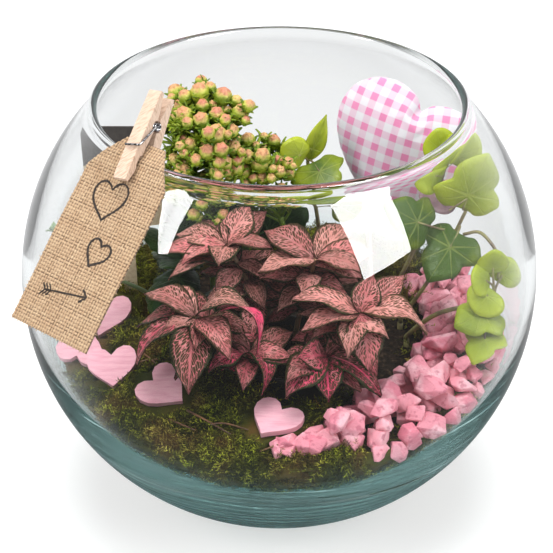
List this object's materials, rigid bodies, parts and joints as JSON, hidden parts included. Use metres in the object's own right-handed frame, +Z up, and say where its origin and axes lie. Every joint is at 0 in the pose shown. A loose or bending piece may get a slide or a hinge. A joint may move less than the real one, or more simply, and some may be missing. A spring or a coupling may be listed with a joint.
{
  "type": "glass plant terrarium",
  "caption": "Planted glass fish-bowl terrarium with moss, pink gravel, nerve plant, budding kalanchoe, ivy, painted wooden hearts, a gingham heart cushion and a pegged jute tag",
  "frame": {"origin": "Centre of the flat underside of the glass bowl, on the surface it stands on", "axes": "+Z up through the bowl's mouth, -Y towards the viewer of the picture, +X to the viewer's right"},
  "size_m": [0.25, 0.25, 0.2329],
  "materials": {
    "clear_glass": "clear soda-lime glass with a blue-green tint in its thickness",
    "soil": "dark crumbly potting soil",
    "moss": "soft living sheet moss",
    "pink_stone": "matte dyed gravel",
    "black_plastic": "thin black nursery-pot plastic",
    "nerve_plant": "living leaf, pink veins over dark olive",
    "dark_leaf": "waxy dark green living leaf",
    "green_bud": "yellow-green living buds with peach tips",
    "ivy_leaf": "satin lime-green living leaf",
    "grey_leaf": "dull grey-green living leaf",
    "painted_wood": "matte pink paint on thin wood",
    "gingham": "pink and white woven cotton check",
    "bare_wood": "unfinished birch",
    "jute": "coarse plain-woven jute",
    "spring_wire": "bright steel wire",
    "dark_card": "dark and kraft coated card"
  },
  "bodies": {
    "terrarium": {"bowl": "clear_glass", "potting_soil": "soil", "moss_bed": "moss", "pink_gravel": "pink_stone", "nursery_pot": "black_plastic", "pot_soil": "soil", "fittonia_shoot_1": "nerve_plant", "fittonia_shoot_2": "nerve_plant", "fittonia_shoot_3": "nerve_plant", "fittonia_shoot_4": "nerve_plant", "fittonia_shoot_5": "nerve_plant", "fittonia_shoot_6": "nerve_plant", "kalanchoe_leaves_1": "dark_leaf", "kalanchoe_leaves_2": "dark_leaf", "kalanchoe_head_1": "green_bud", "kalanchoe_head_2": "green_bud", "kalanchoe_head_3": "green_bud", "kalanchoe_head_4": "green_bud", "ivy_vine_1": "ivy_leaf", "ivy_vine_2": "ivy_leaf", "ivy_vine_3": "ivy_leaf", "ivy_vine_4": "ivy_leaf", "fern_sprig": "grey_leaf", "wood_heart_1": "painted_wood", "wood_heart_2": "painted_wood", "wood_heart_3": "painted_wood", "wood_heart_4": "painted_wood", "wood_heart_5": "painted_wood", "heart_cushion": "gingham", "cushion_pick": "bare_wood", "jute_tag": "jute", "peg_outer": "bare_wood", "peg_spring": "spring_wire", "label_card": "dark_card"},
    "peg_jaw": {"peg_inner": "bare_wood", "peg_spring_leg": "spring_wire"}
  },
  "joints": [
    {"name": "peg_hinge", "type": "hinge", "parent": "terrarium", "child": "peg_jaw", "pos_m": [-0.05558, -0.05138, 0.21834], "axis": [0.8021, -0.5775, 0.1521], "range_deg": [0, 12], "stiffness_Nm_per_rad": 0.14, "springref_deg": -20.05}
  ]
}
